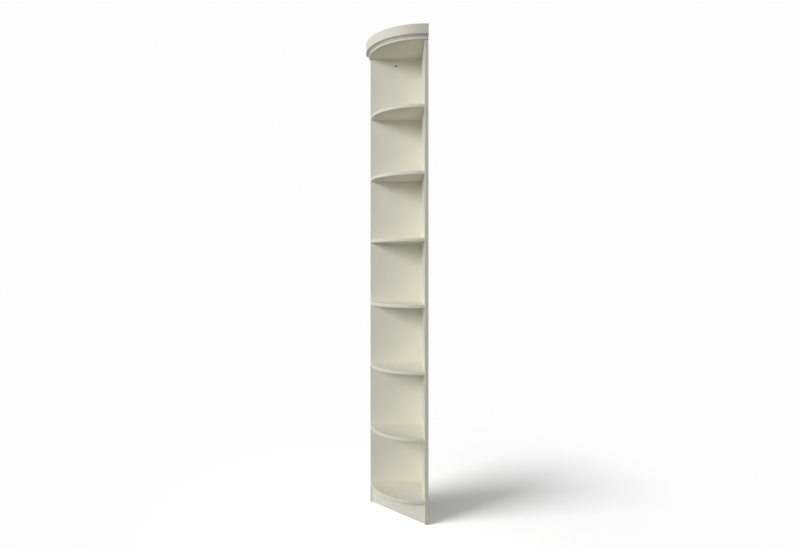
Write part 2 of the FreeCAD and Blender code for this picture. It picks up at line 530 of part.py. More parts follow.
def make_cornice_moulding():
    """The stepped moulding, run round the top board's rim and straight on over both boards' ends."""
    body = new_body("cornice_moulding", z=PANEL_HEIGHT)
    path = sketch_on(body, "XY_Plane", "cornice_path")
    rim = quarter_arc(path, TOP_RADIUS)
    line_from(path, rim, 1, f"-{TOP_RADIUS}", "Sizes.back_thickness")
    line_from(path, rim, 2, "Sizes.side_thickness", f"-{TOP_RADIUS}")

    lap_foot = "(Sizes.top_thickness - Sizes.cornice_lap)"
    step_face = f"({TOP_RADIUS} + Sizes.step_width)"
    fascia_foot = f"({lap_foot} + Sizes.step_height)"
    fascia_top = f"({fascia_foot} + Sizes.fascia_height)"
    section = sketch_on(body, "XZ_Plane", "cornice_section", lift="-Sizes.back_thickness")
    polygon(section, [
        (f"-{FOOT_INNER}", "Sizes.top_thickness"),
        (f"-{TOP_RADIUS}", "Sizes.top_thickness"),
        (f"-{TOP_RADIUS}", lap_foot),
        (f"-{step_face}", lap_foot),
        (f"-{step_face}", fascia_foot),
        (f"-{FASCIA_RADIUS}", fascia_foot),
        (f"-{FASCIA_RADIUS}", fascia_top),
        (f"-{FASCIA_INNER}", fascia_top),
        (f"-{FASCIA_INNER}", FOOT_TOP),
        (f"-{FOOT_INNER}", FOOT_TOP),
    ])
    doc.recompute()
    run = body.newObject("PartDesign::AdditivePipe", "cornice_run")
    run.Profile = section
    run.Spine = (path, ["Edge2", "Edge1", "Edge3"])
    doc.recompute()

    face_edge = -measure(FASCIA_RADIUS)

    def on_face(edge):
        on_returns = lies_at(edge, "X", face_edge) or lies_at(edge, "Y", face_edge)
        round_part = isinstance(edge.Curve, Part.Circle) and abs(edge.Curve.Radius + face_edge) < TOUCHING
        return round_part or on_returns

    def is_lower_edge(edge):
        return on_face(edge) and lies_at(edge, "Z", measure(fascia_foot))

    def is_upper_edge(edge):
        return on_face(edge) and lies_at(edge, "Z", measure(fascia_top))

    lower = round_edges(body, run, "Sizes.fascia_arris", is_lower_edge)
    round_edges(body, lower, "Sizes.fascia_top_arris", is_upper_edge)

    screws = sketch_on(body, "XY_Plane", "cornice_screw_hole", lift=FOOT_TOP)
    circles(screws, SMALL_HOLE, [first_cornice_screw()])
    hole = screw_hole(body, screws, SMALL_HOLE, SMALL_HEAD_HOLE)
    repeat_round(body, hole, CORNICE_SCREW_COUNT, CORNICE_SCREW_STEP)
    return body


def turned(body, name, outline, shift="0", rise="0"):
    """A turned piece about an upright axis, shifted along X and raised along the body's own Y."""
    profile = sketch_on(body, "XZ_Plane", name + "_profile", shift=shift, lift=f"-{rise}")
    polygon(profile, outline)
    feature = body.newObject("PartDesign::Revolution", name)
    feature.Profile = profile
    feature.ReferenceAxis = (profile, ["V_Axis"])
    feature.Angle = 360
    doc.recompute()
    return feature


def connecting_screw(board_thickness):
    """Half outline of a connecting screw: countersunk head, plain shank in the board, thinner end."""
    head, shank, core = "Sizes.screw_head / 2", "Sizes.screw_shank / 2", "Sizes.screw_core / 2"
    return [("0", "0"), (head, "0"), (shank, f"-({head} - {shank})"), (shank, f"-{board_thickness}"),
            (core, f"-{board_thickness}"), (core, "-Sizes.screw_length"), ("0", "-Sizes.screw_length")]


def wood_screw(length):
    """Half outline of a small countersunk screw."""
    head, core = "Sizes.small_screw_head / 2", "Sizes.small_screw_core / 2"
    return [("0", "0"), (head, "0"), (core, f"-({head} - {core})"),
            (core, f"-{length}"), ("0", f"-{length}")]


def dowel():
    """Half outline of a dowel, bevelled at both ends."""
    side, end = "Sizes.dowel_diameter / 2", "(Sizes.dowel_diameter / 2 - Sizes.dowel_chamfer)"
    tip = "(Sizes.dowel_length - Sizes.dowel_chamfer)"
    return [("0", "0"), (end, "0"), (side, "-Sizes.dowel_chamfer"), (side, f"-{tip}"),
            (end, "-Sizes.dowel_length"), ("0", "-Sizes.dowel_length")]


def shelf_fasteners(label, outline, turn, x, y, columns, column_spacing):
    """Fasteners of all seven shelves in one board, the lowest row apart from the six above it."""
    body = new_body(label, x=x, y=y, z=f"Sizes.plinth_height + {SHELF_MIDDLE}", turn=turn)
    lowest = turned(body, label + "_low", outline)
    if columns > 1:
        repeat(body, lowest, ("X_Axis", column_spacing, columns))
    upper = turned(body, label + "_high", outline, rise=LOWEST_STEP)
    runs = [("Y_Axis", SHELF_PITCH, SHELF_COUNT)]
    if columns > 1:
        runs.append(("X_Axis", column_spacing, columns))
    repeat(body, upper, *runs)
    return body


def make_shelf_fasteners():
    dowel_seat = "Sizes.dowel_panel_depth"
    back = connecting_screw("Sizes.back_thickness")
    side = connecting_screw("Sizes.side_thickness")
    return [
        shelf_fasteners("back_shelf_screws", back, INTO_BACK, f"-{NEAR_SCREW}", "Sizes.back_thickness",
                        2, SCREW_SPACING),
        shelf_fasteners("side_shelf_screws", side, INTO_SIDE, "Sizes.side_thickness", f"-{FAR_SCREW}",
                        2, SCREW_SPACING),
        shelf_fasteners("back_shelf_dowels", dowel(), INTO_BACK, f"-{DOWEL_PLACE}", dowel_seat, 1, "0"),
        shelf_fasteners("side_shelf_dowels", dowel(), INTO_SIDE, dowel_seat, f"-{DOWEL_PLACE}", 1, "0"),
    ]


def make_corner_fasteners():
    """Screws and dowels that join the back panel to the side panel's rear edge, one of each per bay."""
    bodies = []
    kinds = (
        ("corner_joint_screws", connecting_screw("Sizes.back_thickness"), "Sizes.back_thickness", "0"),
        ("corner_joint_dowels", dowel(), "Sizes.dowel_panel_depth", "Sizes.corner_dowel_rise"),
    )
    for label, outline, y, rise in kinds:
        body = new_body(label, x=SIDE_MIDDLE, y=y, z=f"{CORNER_SCREW_LOW} + {rise}", turn=INTO_BACK)
        turned(body, label + "_low", outline)
        upper = turned(body, label + "_high", outline, rise=f"({CORNER_SCREW_HIGH} - {CORNER_SCREW_LOW})")
        repeat(body, upper, ("Y_Axis", SHELF_PITCH, SHELF_COUNT))
        bodies.append(body)
    return bodies


def make_top_fasteners():
    """Screws down through the top board, and the dowels beside them, in both panels' top ends."""
    screws = new_body("top_panel_screws", z=f"{PANEL_HEIGHT} + Sizes.top_thickness")
    outline = connecting_screw("Sizes.top_thickness")
    on_back = turned(screws, "top_screw_back", outline, shift=f"-{FAR_SCREW}", rise=BACK_MIDDLE)
    repeat(screws, on_back, ("X_Axis", SCREW_SPACING, 2))
    on_side = turned(screws, "top_screw_side", outline, shift=SIDE_MIDDLE, rise=f"(-{FAR_SCREW})")
    repeat(screws, on_side, ("Y_Axis", SCREW_SPACING, 2))

    dowels = new_body("top_panel_dowels", z=f"{PANEL_HEIGHT} + Sizes.dowel_panel_depth")
    turned(dowels, "top_dowel_back", dowel(), shift=f"-{DOWEL_PLACE}", rise=BACK_MIDDLE)
    turned(dowels, "top_dowel_side", dowel(), shift=SIDE_MIDDLE, rise=f"(-{DOWEL_PLACE})")

    cornice = new_body("cornice_screws", z=f"{PANEL_HEIGHT} + {FOOT_TOP}")
    x, y = first_cornice_screw()
    first = turned(cornice, "cornice_screw", wood_screw("(Sizes.foot_height + Sizes.cornice_screw_bite)"),
                   shift=x, rise=f"({y})")
    repeat_round(cornice, first, CORNICE_SCREW_COUNT, CORNICE_SCREW_STEP)
    return [screws, dowels, cornice]


def make_batten_screws():
    """Two screws up into the bottom shelf and two forward into the plinth, between the first two."""
    outline = wood_screw("(Sizes.batten_size + Sizes.batten_screw_bite)")
    centre_depth = "((Sizes.plinth_thickness + Sizes.batten_size / 2) / sqrt(2))"
    half = f"({BATTEN_SCREW_SPACING} / 2 / sqrt(2))"
    middle = f"-{PLINTH_FACE} / 2"
    upward = new_body("batten_shelf_screws", x=f"{middle} + {centre_depth} - {half}",
                      y=f"{middle} + {centre_depth} + {half}", z=BATTEN_FLOOR,
                      turn=ALONG_PLINTH.multiply(UP))
    first = turned(upward, "batten_shelf_screw", outline)
    repeat(upward, first, ("X_Axis", BATTEN_SCREW_SPACING, 2))

    apart = f"({BATTEN_SCREW_SPACING} - Sizes.batten_size)"
    back_depth = f"({BATTEN_BACK} / sqrt(2))"
    forward = new_body("batten_plinth_screws", x=f"{middle} + {back_depth} + {apart} / 2 / sqrt(2)",
                       y=f"{middle} + {back_depth} - {apart} / 2 / sqrt(2)",
                       z=f"{BATTEN_FLOOR} + Sizes.batten_size / 2", turn=INTO_PLINTH)
    first = turned(forward, "batten_plinth_screw", outline)
    repeat(forward, first, ("X_Axis", apart, 2))
    return [upward, forward]


def make_parts():
    parts = [make_back_panel(), make_side_panel(), make_top_panel(), make_cornice_moulding()]
    for number in range(1, SHELF_COUNT + 1):
        below = SHELF_COUNT - number
        parts.append(make_shelf(f"shelf_{number}", f"{LOWEST_SHELF} + {below} * {SHELF_PITCH}"))
    parts.append(make_shelf("bottom_shelf", "Sizes.plinth_height", batten_below=True))
    parts += [make_plinth_board(), make_plinth_batten()]
    parts += make_shelf_fasteners() + make_corner_fasteners() + make_top_fasteners() + make_batten_screws()
    return parts


def check(parts):
    doc.recompute()
    for item in doc.Objects:
        if "Invalid" in item.State or "Error" in item.State:
            raise ValueError(f"{item.Label} failed: {item.State}")
    for part in parts:
        if part.Shape.isNull() or not part.Shape.isValid():
            raise ValueError(f"{part.Label} has no valid shape")


def write(parts):
    os.makedirs("parts", exist_ok=True)
    for part in parts:
        part.Shape.exportStep(f"parts/{part.Label}.step")
        print(part.Label, len(part.Shape.Solids), "solids,", round(part.Shape.Volume), "mm3")


parts = make_parts()
check(parts)
write(parts)
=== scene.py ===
import json
import math

import bpy
from mathutils import Matrix, Vector

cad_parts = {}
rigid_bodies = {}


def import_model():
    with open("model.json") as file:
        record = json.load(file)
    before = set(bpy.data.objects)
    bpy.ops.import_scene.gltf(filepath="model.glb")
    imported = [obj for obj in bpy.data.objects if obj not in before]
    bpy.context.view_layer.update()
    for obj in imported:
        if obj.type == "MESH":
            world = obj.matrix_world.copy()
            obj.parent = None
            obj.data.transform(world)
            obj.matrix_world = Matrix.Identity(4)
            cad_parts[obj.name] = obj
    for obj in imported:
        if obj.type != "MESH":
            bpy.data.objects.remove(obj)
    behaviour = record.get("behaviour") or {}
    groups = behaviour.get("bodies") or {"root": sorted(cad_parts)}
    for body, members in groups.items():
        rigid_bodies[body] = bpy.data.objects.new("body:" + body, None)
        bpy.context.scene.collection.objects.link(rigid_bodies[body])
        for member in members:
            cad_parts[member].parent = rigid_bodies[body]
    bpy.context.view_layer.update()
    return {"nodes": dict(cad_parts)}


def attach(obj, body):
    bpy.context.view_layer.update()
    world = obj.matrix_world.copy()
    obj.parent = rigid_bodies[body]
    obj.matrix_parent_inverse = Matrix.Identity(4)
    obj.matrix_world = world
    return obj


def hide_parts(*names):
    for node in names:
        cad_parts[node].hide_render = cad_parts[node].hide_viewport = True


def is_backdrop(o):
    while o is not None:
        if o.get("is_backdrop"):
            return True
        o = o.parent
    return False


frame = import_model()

BODY = "root"

# The camera stands level in front of the unit, as the photograph's did.
CAMERA_PLACE = (-0.2036, -3.0401, 1.2404)
CAMERA_TURN = (math.radians(90), 0.0, 0.0)
CAMERA_LENS = 26.07
CAMERA_SENSOR = 36.0
CAMERA_SHIFT = (0.0179, -0.0124)

# Light: a very large soft lamp at the left front, a low one nearer the front, a high one at the left, and
# a weak even surround. These lamps reach the unit, and two more at the left lay its shadow on the floor.
# A soft lamp behind shows the boards' rear faces, and goes no further than what it strikes first.
# A lamp's level is what a white card facing it would show.
LAMP_TARGET = (-0.15, -0.15, 1.2)
LAMPS = (
    # name, degrees left of the front, degrees up, distance, level, width, height, what it lights, bounces
    ("key", 53.0, 20.0, 20.0, 0.57, 8.0, 6.7, "unit", True),
    ("low_fill", 36.0, 3.0, 25.0, 0.12, 10.0, 8.0, "unit", True),
    ("high_fill", 97.0, 47.0, 25.0, 0.22, 8.0, 8.0, "unit", True),
    ("rear_fill", 222.0, 30.0, 25.0, 0.80, 10.0, 8.0, "boards", False),
    ("floor_key", 65.0, 22.0, 25.0, 0.515, 14.0, 10.0, "floor", True),
    ("floor_fill", 65.0, 48.0, 25.0, 0.075, 34.0, 6.0, "floor", True),
)
SURROUND_LEVEL = 0.10
BACKDROP_LEVEL = 0.985
WHITE = (1.0, 1.0, 1.0)

# Floor: white to the camera, with the unit's shadow, fading to the backdrop.
FLOOR_HALF_WIDTH = 30.0
FLOOR_DROP = 0.0002
FLOOR_ALBEDO = 0.48
FLOOR_CAMERA_ALBEDO = 2.86
FLOOR_LIFT = 0.07
FADE_START = 0.35
FADE_END = 1.6

# Boards, in metres
BOARD = 0.018
TOP_BOARD = 0.016
BOARD_MIDDLE = -0.009
INNER_CORNER = -0.018
PANEL_TOP = 2.312
TOP_FACE = 2.328

# Just behind the panels' front edges, and just within the shelves' rims, as they lie round the inner corner
PANEL_FRONT = -0.2815
SHELF_RIM = 0.2596

# A noise is given by its waves per metre, its detail and its roughness, and is spread from the range that it
# seldom leaves. A bump is given by its strength and its depth.
NOISE_RANGE = (0.3, 0.7)
WHOLE = (0.0, 1.0)

# Lacquer: two tones in clouds, and each board a little lighter or darker. The film wears to a warm,
# thinner coat on the arrises. The shelves' rims take part of that warm, darker tone as painted shade. The
# panels' front edges, and the top board and moulding above the panels, are darkened as painted shade.
LACQUER_TONES = ((0.786, 0.771, 0.670), (0.820, 0.806, 0.708))
LACQUER_WEAR_AND_SHADE_TONE = (0.77, 0.735, 0.61)
LACQUER_ROUGHNESS = (0.51, 0.59)
LACQUER_SPECULAR = 0.22
CLOUD_NOISE = (6.0, 4.0, 0.6)
SHEEN_NOISE = (22.0, 3.0, 0.5)
PEEL_NOISE = (260.0, 1.0, 0.5)
FINE_PEEL_NOISE = (900.0, 2.0, 0.5)
FINE_PEEL_SHARE = 0.3
PEEL_BUMP = (0.25, 0.00012)
BOARD_VALUES = (0.99, 1.01)
FRONT_EDGE_SHADE_VALUE = 0.92
MOULDING_SHADE_VALUE = 0.955
RIM_SHADE_SHARE = 0.4
ARRIS_RADIUS = 0.0012
ARRIS_SAMPLES = 4
ARRIS_COSINES = (1.0, 0.9)
ARRIS_NOISE = (40.0, 2.0, 0.5)
ARRIS_NOISE_RANGE = (0.35, 0.65)
ARRIS_SHARES = (0.2, 0.6)

# The wall fixing's axis, and what its hole lays bare: its own walls and, where the drill chipped it, its rim
WALL_FIXING = (-0.1505, 0.0, 2.276)
WALL_CUP_RADIUS = 0.00503
WALL_CUP_BACK = -0.0003
WALL_CUP_CHIP = 0.0012
CHIP_NOISE = (260.0, 1.0, 0.5)
RAW_BOARD_TONES = ((0.25, 0.18, 0.11), (0.38, 0.29, 0.18))
RAW_BOARD_NOISE = (1400.0, 3.0, 0.7)
RAW_BOARD_ROUGHER = 0.35

# Pine: rings and fibres drawn out along the batten, which lies across the corner
PINE_TONES = ((0.69, 0.50, 0.29), (0.52, 0.31, 0.14))
PINE_ROUGHNESS = (0.56, 0.70)
PINE_SPECULAR = 0.3
PINE_TURN = math.radians(45)
PINE_RING_STRETCH = (0.12, 1.0, 1.0)
PINE_RINGS = {"Scale": 95.0, "Distortion": 3.0, "Detail": 2.0, "Detail_Scale": 0.6}
PINE_RING_SHARPNESS = 2.2
PINE_FIBRE_STRETCH = (0.03, 1.0, 1.0)
PINE_FIBRE_NOISE = (1500.0, 3.0, 0.6)
PINE_FIBRE_SHARES = (0.6, 1.0)
PINE_BUMP = (0.35, 0.0001)

# Beech: short flecks in soft bands, along each dowel
BEECH_TONES = ((0.62, 0.44, 0.27), (0.49, 0.32, 0.18))
BEECH_ROUGHNESS = (0.5, 0.64)
BEECH_SPECULAR = 0.3
BEECH_FLECK_STRETCH = (1.0, 1.0, 0.12)
BEECH_FLECK_NOISE = (1600.0, 3.0, 0.6)
BEECH_BAND_STRETCH = (1.0, 1.0, 0.04)
BEECH_BAND_NOISE = (420.0, 2.0, 0.5)
BEECH_DARK_RANGE = (0.40, 0.12)
BEECH_BUMP = (0.3, 0.00008)

# Zinc plating: a cool and a warm tone in a faint bloom, and a slightly uneven polish
ZINC_TONES = ((0.60, 0.61, 0.62), (0.52, 0.51, 0.47))
ZINC_ROUGHNESS = (0.40, 0.56)
ZINC_POLISH_RANGE = (0.5, 1.5)
ZINC_BLOOM_NOISE = (170.0, 3.0, 0.6)
ZINC_GRAIN_NOISE = (2400.0, 2.0, 0.5)
ZINC_BUMP = (0.15, 0.00003)

# Where the fasteners are, as the boards are drilled for them
SHELF_MIDDLES = (0.104, 0.400, 0.720, 1.040, 1.360, 1.680, 2.000)
CORNER_SCREW_HEIGHTS = (0.252, 0.560, 0.880, 1.200, 1.520, 1.840, 2.160)
CORNER_DOWEL_RISE = 0.064
SCREW_PLACES = (-0.218, -0.078)
DOWEL_PLACE = -0.148
DOWEL_SEAT = 0.010
CORNICE_FOOT_FACE = 2.340
CORNICE_SCREW_REACH = 0.260
CORNICE_SCREW_ANGLES = (9.0, 27.0, 45.0, 63.0, 81.0)
BATTEN_FOOT = 0.076
BATTEN_MIDDLE = 0.086
BATTEN_SCREW_PLACES = (-0.16954, -0.08469)
PLINTH_SCREW_PLACES = (-0.15540, -0.08469)

INTO_BACK = Vector((0.0, -1.0, 0.0))
INTO_SIDE = Vector((-1.0, 0.0, 0.0))
DOWN = Vector((0.0, 0.0, -1.0))
UP = Vector((0.0, 0.0, 1.0))
INTO_PLINTH = Vector((-1.0, -1.0, 0.0)).normalized()

# Connecting screw. An outline is a row of depths below the head's face, each with its radius, or across the
# socket's flats, its width. A tip's depths count back from the far end.
SCREW_SEGMENTS = 24
SCREW_LENGTH = 0.050
SCREW_SOCKET_END = ((0.0034, 0.0004),)
SCREW_SOCKET_FLATS = ((0.0030, 0.0040), (0.0003, 0.0040), (0.0, 0.0045))
SCREW_HEAD = ((0.0, 0.0047), (0.00012, 0.00487), (0.0015, 0.0035))
SCREW_SHANK_RADIUS = 0.0035
SCREW_SHANK_BEVEL = 0.0006
SCREW_NECK_RADIUS = 0.0024
SCREW_THREAD_RUN_IN = 0.0005
SCREW_THREAD_RUN_OUT = 0.004
SCREW_THREAD = {"root": 0.0020, "crest": 0.00257, "pitch": 0.0030, "steps": 5}
SCREW_TIP = ((0.0035, 0.0018), (0.0004, 0.0009), (0.0, 0.0004))

# Wood screw, with a cross recess given by depths, each with the arms' length and half width
CORNICE_SCREW_LENGTH = 0.024
BATTEN_SCREW_LENGTH = 0.031
SMALL_RECESS_END = ((0.0022, 0.0002),)
SMALL_RECESS_ARMS = ((0.0018, 0.0012, 0.00035), (0.0, 0.0020, 0.00050))
SMALL_HEAD = ((0.0, 0.0032), (0.0001, 0.00339), (0.00175, 0.0017), (0.0060, 0.0015))
SMALL_THREAD_START = 0.0065
SMALL_THREAD_RUN_OUT = 0.004
SMALL_THREAD = {"root": 0.0011, "crest": 0.00172, "pitch": 0.0016, "steps": 4}
SMALL_TIP = ((0.0035, 0.0011), (0.0003, 0.0002))

# A thread's ridge takes up two thirds of its pitch.
RIDGE_SLOPE = 3.0

# Dowel, with grooves for the glue
DOWEL_SEGMENTS = 40
DOWEL_LENGTH = 0.030
DOWEL_RADIUS = 0.004
DOWEL_BEVEL = 0.001
DOWEL_GROOVE = 0.0003

# Like pieces are each turned further about their own axes, and each has its own stretch of the pattern.
TURN_STEP = math.radians(137.5)
PATTERN_STEP = 0.02

# An edge where the faces turn by more than this is shown sharp.
SHARP_ANGLE = math.radians(32)


def rgba(colour):
    return (*colour, 1.0)


class Tree:
    """Short ways to add and join the nodes of one node tree."""

    def __init__(self, owner):
        owner.use_nodes = True
        self.nodes = owner.node_tree.nodes
        self.links = owner.node_tree.links
        self.nodes.clear()

    def add(self, kind, settings=None, **inputs):
        """Adds a node. Inputs go by their sockets' names, with _ for a space. A socket given is linked."""
        made = self.nodes.new(kind)
        for name, value in (settings or {}).items():
            setattr(made, name, value)
        for name, value in inputs.items():
            self.feed(made, name.replace("_", " "), value)
        return made

    def feed(self, made, socket, value):
        """Sets or links one input, found by its name or by its number."""
        target = made.inputs[socket]
        if isinstance(value, bpy.types.NodeSocket):
            self.links.new(value, target)
        else:
            target.default_value = value

    def math(self, operation, first, second=0.0):
        made = self.add("ShaderNodeMath", {"operation": operation})
        self.feed(made, 0, first)
        self.feed(made, 1, second)
        return made.outputs[0]

    def vector_math(self, operation, output, first, second):
        made = self.add("ShaderNodeVectorMath", {"operation": operation})
        self.feed(made, 0, first)
        self.feed(made, 1, second)
        return made.outputs[output]

    def reach(self, first, second):
        """The length of a right-angled triangle's long side."""
        squares = [self.math("POWER", side, 2.0) for side in (first, second)]
        return self.math("SQRT", self.math("ADD", *squares))

    def spread(self, value, bounds, to_bounds):
        """Takes value from one range to another and holds it there."""
        made = self.add("ShaderNodeMapRange", Value=value, From_Min=bounds[0], From_Max=bounds[1],
                        To_Min=to_bounds[0], To_Max=to_bounds[1])
        return made.outputs[0]

    def blend(self, share, first, second):
        """A colour between two colours, or where they are sockets, between theirs."""
        made = self.add("ShaderNodeMix", {"data_type": "RGBA"})
        sockets = [socket for socket in made.inputs if socket.type == "RGBA"]
        self.links.new(share, made.inputs[0])
        for socket, colour in zip(sockets, (first, second)):
            if isinstance(colour, bpy.types.NodeSocket):
                self.links.new(colour, socket)
            else:
                socket.default_value = rgba(colour)
        return [socket for socket in made.outputs if socket.type == "RGBA"][0]

    def valued(self, colour, value):
        """A colour made lighter or darker."""
        return self.add("ShaderNodeHueSaturation", Color=colour, Value=value).outputs[0]

    def noise(self, place, kind):
        scale, detail, roughness = kind
        made = self.add("ShaderNodeTexNoise", Vector=place, Scale=scale, Detail=detail, Roughness=roughness)
        return made.outputs[0]

    def stretched(self, place, scale, turn=0.0):
        """The place turned about Z, then scaled along each axis."""
        made = self.add("ShaderNodeMapping", Vector=place, Rotation=(0.0, 0.0, turn), Scale=scale)
        return made.outputs[0]

    def bump(self, height, kind):
        strength, depth = kind
        return self.add("ShaderNodeBump", Strength=strength, Distance=depth, Height=height).outputs[0]

    def finish(self, kind, shader):
        out = self.add(kind)
        self.links.new(shader.outputs[0], out.inputs["Surface"])


def new_material(name):
    made = bpy.data.materials.new(name)
    return made, Tree(made)


def make_lacquer():
    """Sprayed satin lacquer on fibreboard, with orange peel, and raw board in the wall hole."""
    made, tree = new_material("cream_lacquer_satin")
    place = tree.add("ShaderNodeTexCoord").outputs["Object"]

    clouds = tree.spread(tree.noise(place, CLOUD_NOISE), NOISE_RANGE, WHOLE)
    colour = tree.blend(clouds, *LACQUER_TONES)
    chance = tree.add("ShaderNodeObjectInfo").outputs["Random"]
    colour = tree.valued(colour, tree.spread(chance, WHOLE, BOARD_VALUES))

    flat = tree.add("ShaderNodeNewGeometry").outputs["Normal"]
    rounded = tree.add("ShaderNodeBevel", {"samples": ARRIS_SAMPLES}, Radius=ARRIS_RADIUS).outputs[0]
    arris = tree.spread(tree.vector_math("DOT_PRODUCT", "Value", flat, rounded), ARRIS_COSINES, WHOLE)
    worn = tree.spread(tree.noise(place, ARRIS_NOISE), ARRIS_NOISE_RANGE, ARRIS_SHARES)
    worn_and_shaded = tree.math("MULTIPLY", arris, worn)

    where = tree.add("ShaderNodeSeparateXYZ", Vector=place)
    foremost = tree.math("MINIMUM", where.outputs["X"], where.outputs["Y"])
    above = tree.math("GREATER_THAN", where.outputs["Z"], PANEL_TOP)
    below = tree.math("SUBTRACT", 1.0, above)
    # Painted shade: the panels' front edges, below the top, are marked here to be made darker.
    shaded_front_edge = tree.math("MULTIPLY", tree.math("LESS_THAN", foremost, PANEL_FRONT), below)
    from_corner = tree.reach(tree.math("SUBTRACT", where.outputs["X"], INNER_CORNER),
                             tree.math("SUBTRACT", where.outputs["Y"], INNER_CORNER))
    # Painted shade: the shelves' rims get part of the warm, darker edge tone.
    shaded_rim = tree.math("MULTIPLY", tree.math("GREATER_THAN", from_corner, SHELF_RIM),
                       tree.math("SUBTRACT", below, shaded_front_edge))
    worn_and_shaded = tree.math("MAXIMUM", worn_and_shaded, tree.math("MULTIPLY", shaded_rim, RIM_SHADE_SHARE))
    # One warm, darker tone serves the arrises' wear and the rims' painted shade.
    colour = tree.blend(worn_and_shaded, colour, LACQUER_WEAR_AND_SHADE_TONE)
    # Painted shade: the panels' front edges are made darker.
    front_edge_shade_value = tree.spread(shaded_front_edge, WHOLE, (1.0, FRONT_EDGE_SHADE_VALUE))
    # Painted shade: the top board and moulding above the panels are made darker.
    moulding_shade_value = tree.spread(above, WHOLE, (1.0, MOULDING_SHADE_VALUE))
    colour = tree.valued(colour, tree.math("MULTIPLY", front_edge_shade_value, moulding_shade_value))

    from_axis = tree.vector_math("SUBTRACT", "Vector", place, WALL_FIXING)
    split = tree.add("ShaderNodeSeparateXYZ", Vector=from_axis)
    chipped = tree.spread(tree.noise(place, CHIP_NOISE), NOISE_RANGE,
                          (WALL_CUP_RADIUS, WALL_CUP_RADIUS + WALL_CUP_CHIP))
    in_reach = tree.math("LESS_THAN", tree.reach(split.outputs["X"], split.outputs["Z"]), chipped)
    bare = tree.math("MULTIPLY", in_reach, tree.math("LESS_THAN", split.outputs["Y"], WALL_CUP_BACK))
    fibres = tree.spread(tree.noise(place, RAW_BOARD_NOISE), NOISE_RANGE, WHOLE)
    colour = tree.blend(bare, colour, tree.blend(fibres, *RAW_BOARD_TONES))

    sheen = tree.spread(tree.noise(place, SHEEN_NOISE), NOISE_RANGE, LACQUER_ROUGHNESS)
    roughness = tree.math("ADD", sheen, tree.math("MULTIPLY", bare, RAW_BOARD_ROUGHER))
    fine_peel = tree.math("MULTIPLY", tree.noise(place, FINE_PEEL_NOISE), FINE_PEEL_SHARE)
    peel = tree.math("ADD", tree.noise(place, PEEL_NOISE), fine_peel)
    shader = tree.add("ShaderNodeBsdfPrincipled", Base_Color=colour, Roughness=roughness,
                      Specular_IOR_Level=LACQUER_SPECULAR, Normal=tree.bump(peel, PEEL_BUMP))
    tree.finish("ShaderNodeOutputMaterial", shader)
    return made


def make_pine():
    """Planed softwood."""
    made, tree = new_material("pine_planed")
    place = tree.add("ShaderNodeTexCoord").outputs["Object"]
    along = tree.stretched(place, PINE_RING_STRETCH, PINE_TURN)
    rings = tree.add("ShaderNodeTexWave", {"wave_type": "RINGS", "rings_direction": "X"}, Vector=along,
                     **PINE_RINGS).outputs["Fac"]
    fibres = tree.noise(tree.stretched(place, PINE_FIBRE_STRETCH, PINE_TURN), PINE_FIBRE_NOISE)
    late = tree.math("MULTIPLY", tree.math("POWER", rings, PINE_RING_SHARPNESS),
                     tree.spread(fibres, NOISE_RANGE, PINE_FIBRE_SHARES))
    colour = tree.blend(late, *PINE_TONES)
    roughness = tree.spread(fibres, NOISE_RANGE, PINE_ROUGHNESS)
    height = tree.math("ADD", fibres, late)
    shader = tree.add("ShaderNodeBsdfPrincipled", Base_Color=colour, Roughness=roughness,
                      Specular_IOR_Level=PINE_SPECULAR, Normal=tree.bump(height, PINE_BUMP))
    tree.finish("ShaderNodeOutputMaterial", shader)
    return made


def make_beech():
    """Turned hardwood, patterned by the place that is kept on each dowel's own mesh."""
    made, tree = new_material("beech_turned")
    place = tree.add("ShaderNodeAttribute", {"attribute_name": "along"}).outputs["Vector"]
    flecks = tree.noise(tree.stretched(place, BEECH_FLECK_STRETCH), BEECH_FLECK_NOISE)
    bands = tree.noise(tree.stretched(place, BEECH_BAND_STRETCH), BEECH_BAND_NOISE)
    share = tree.spread(tree.math("MULTIPLY", flecks, bands), BEECH_DARK_RANGE, WHOLE)
    colour = tree.blend(share, *BEECH_TONES)
    roughness = tree.spread(flecks, NOISE_RANGE, BEECH_ROUGHNESS)
    shader = tree.add("ShaderNodeBsdfPrincipled", Base_Color=colour, Roughness=roughness,
                      Specular_IOR_Level=BEECH_SPECULAR, Normal=tree.bump(flecks, BEECH_BUMP))
    tree.finish("ShaderNodeOutputMaterial", shader)
    return made


def make_zinc():
    """Bright zinc plating on steel."""
    made, tree = new_material("zinc_plated_steel")
    place = tree.add("ShaderNodeTexCoord").outputs["Object"]
    bloom = tree.spread(tree.noise(place, ZINC_BLOOM_NOISE), NOISE_RANGE, WHOLE)
    colour = tree.blend(bloom, *ZINC_TONES)
    grain = tree.noise(place, ZINC_GRAIN_NOISE)
    roughness = tree.spread(tree.math("ADD", grain, bloom), ZINC_POLISH_RANGE, ZINC_ROUGHNESS)
    shader = tree.add("ShaderNodeBsdfPrincipled", Base_Color=colour, Roughness=roughness, Metallic=1.0,
                      Normal=tree.bump(grain, ZINC_BUMP))
    tree.finish("ShaderNodeOutputMaterial", shader)
    return made


FINISHES = {
    "cream_lacquer": make_lacquer(),
    "pine": make_pine(),
    "beech": make_beech(),
    "zinc_steel": make_zinc(),
}


def folded(angle, step):
    """An angle brought within half a step either side of nought."""
    return (angle + step / 2) % step - step / 2


def screw_angles():
    return [2 * math.pi * index / SCREW_SEGMENTS for index in range(SCREW_SEGMENTS)]


def hexagon(across):
    """Radii of a hexagon's outline, by its width across flats."""
    return [across / 2 / math.cos(folded(angle, math.pi / 3)) for angle in screw_angles()]


def cross(arm, half_width):
    """Radii of a cross's outline."""
    radii = []
    for turned in screw_angles():
        angle = abs(folded(turned, math.pi / 2))
        side = half_width / math.sin(angle) if angle > 0 else arm
        radii.append(min(arm / math.cos(angle), side))
    return radii


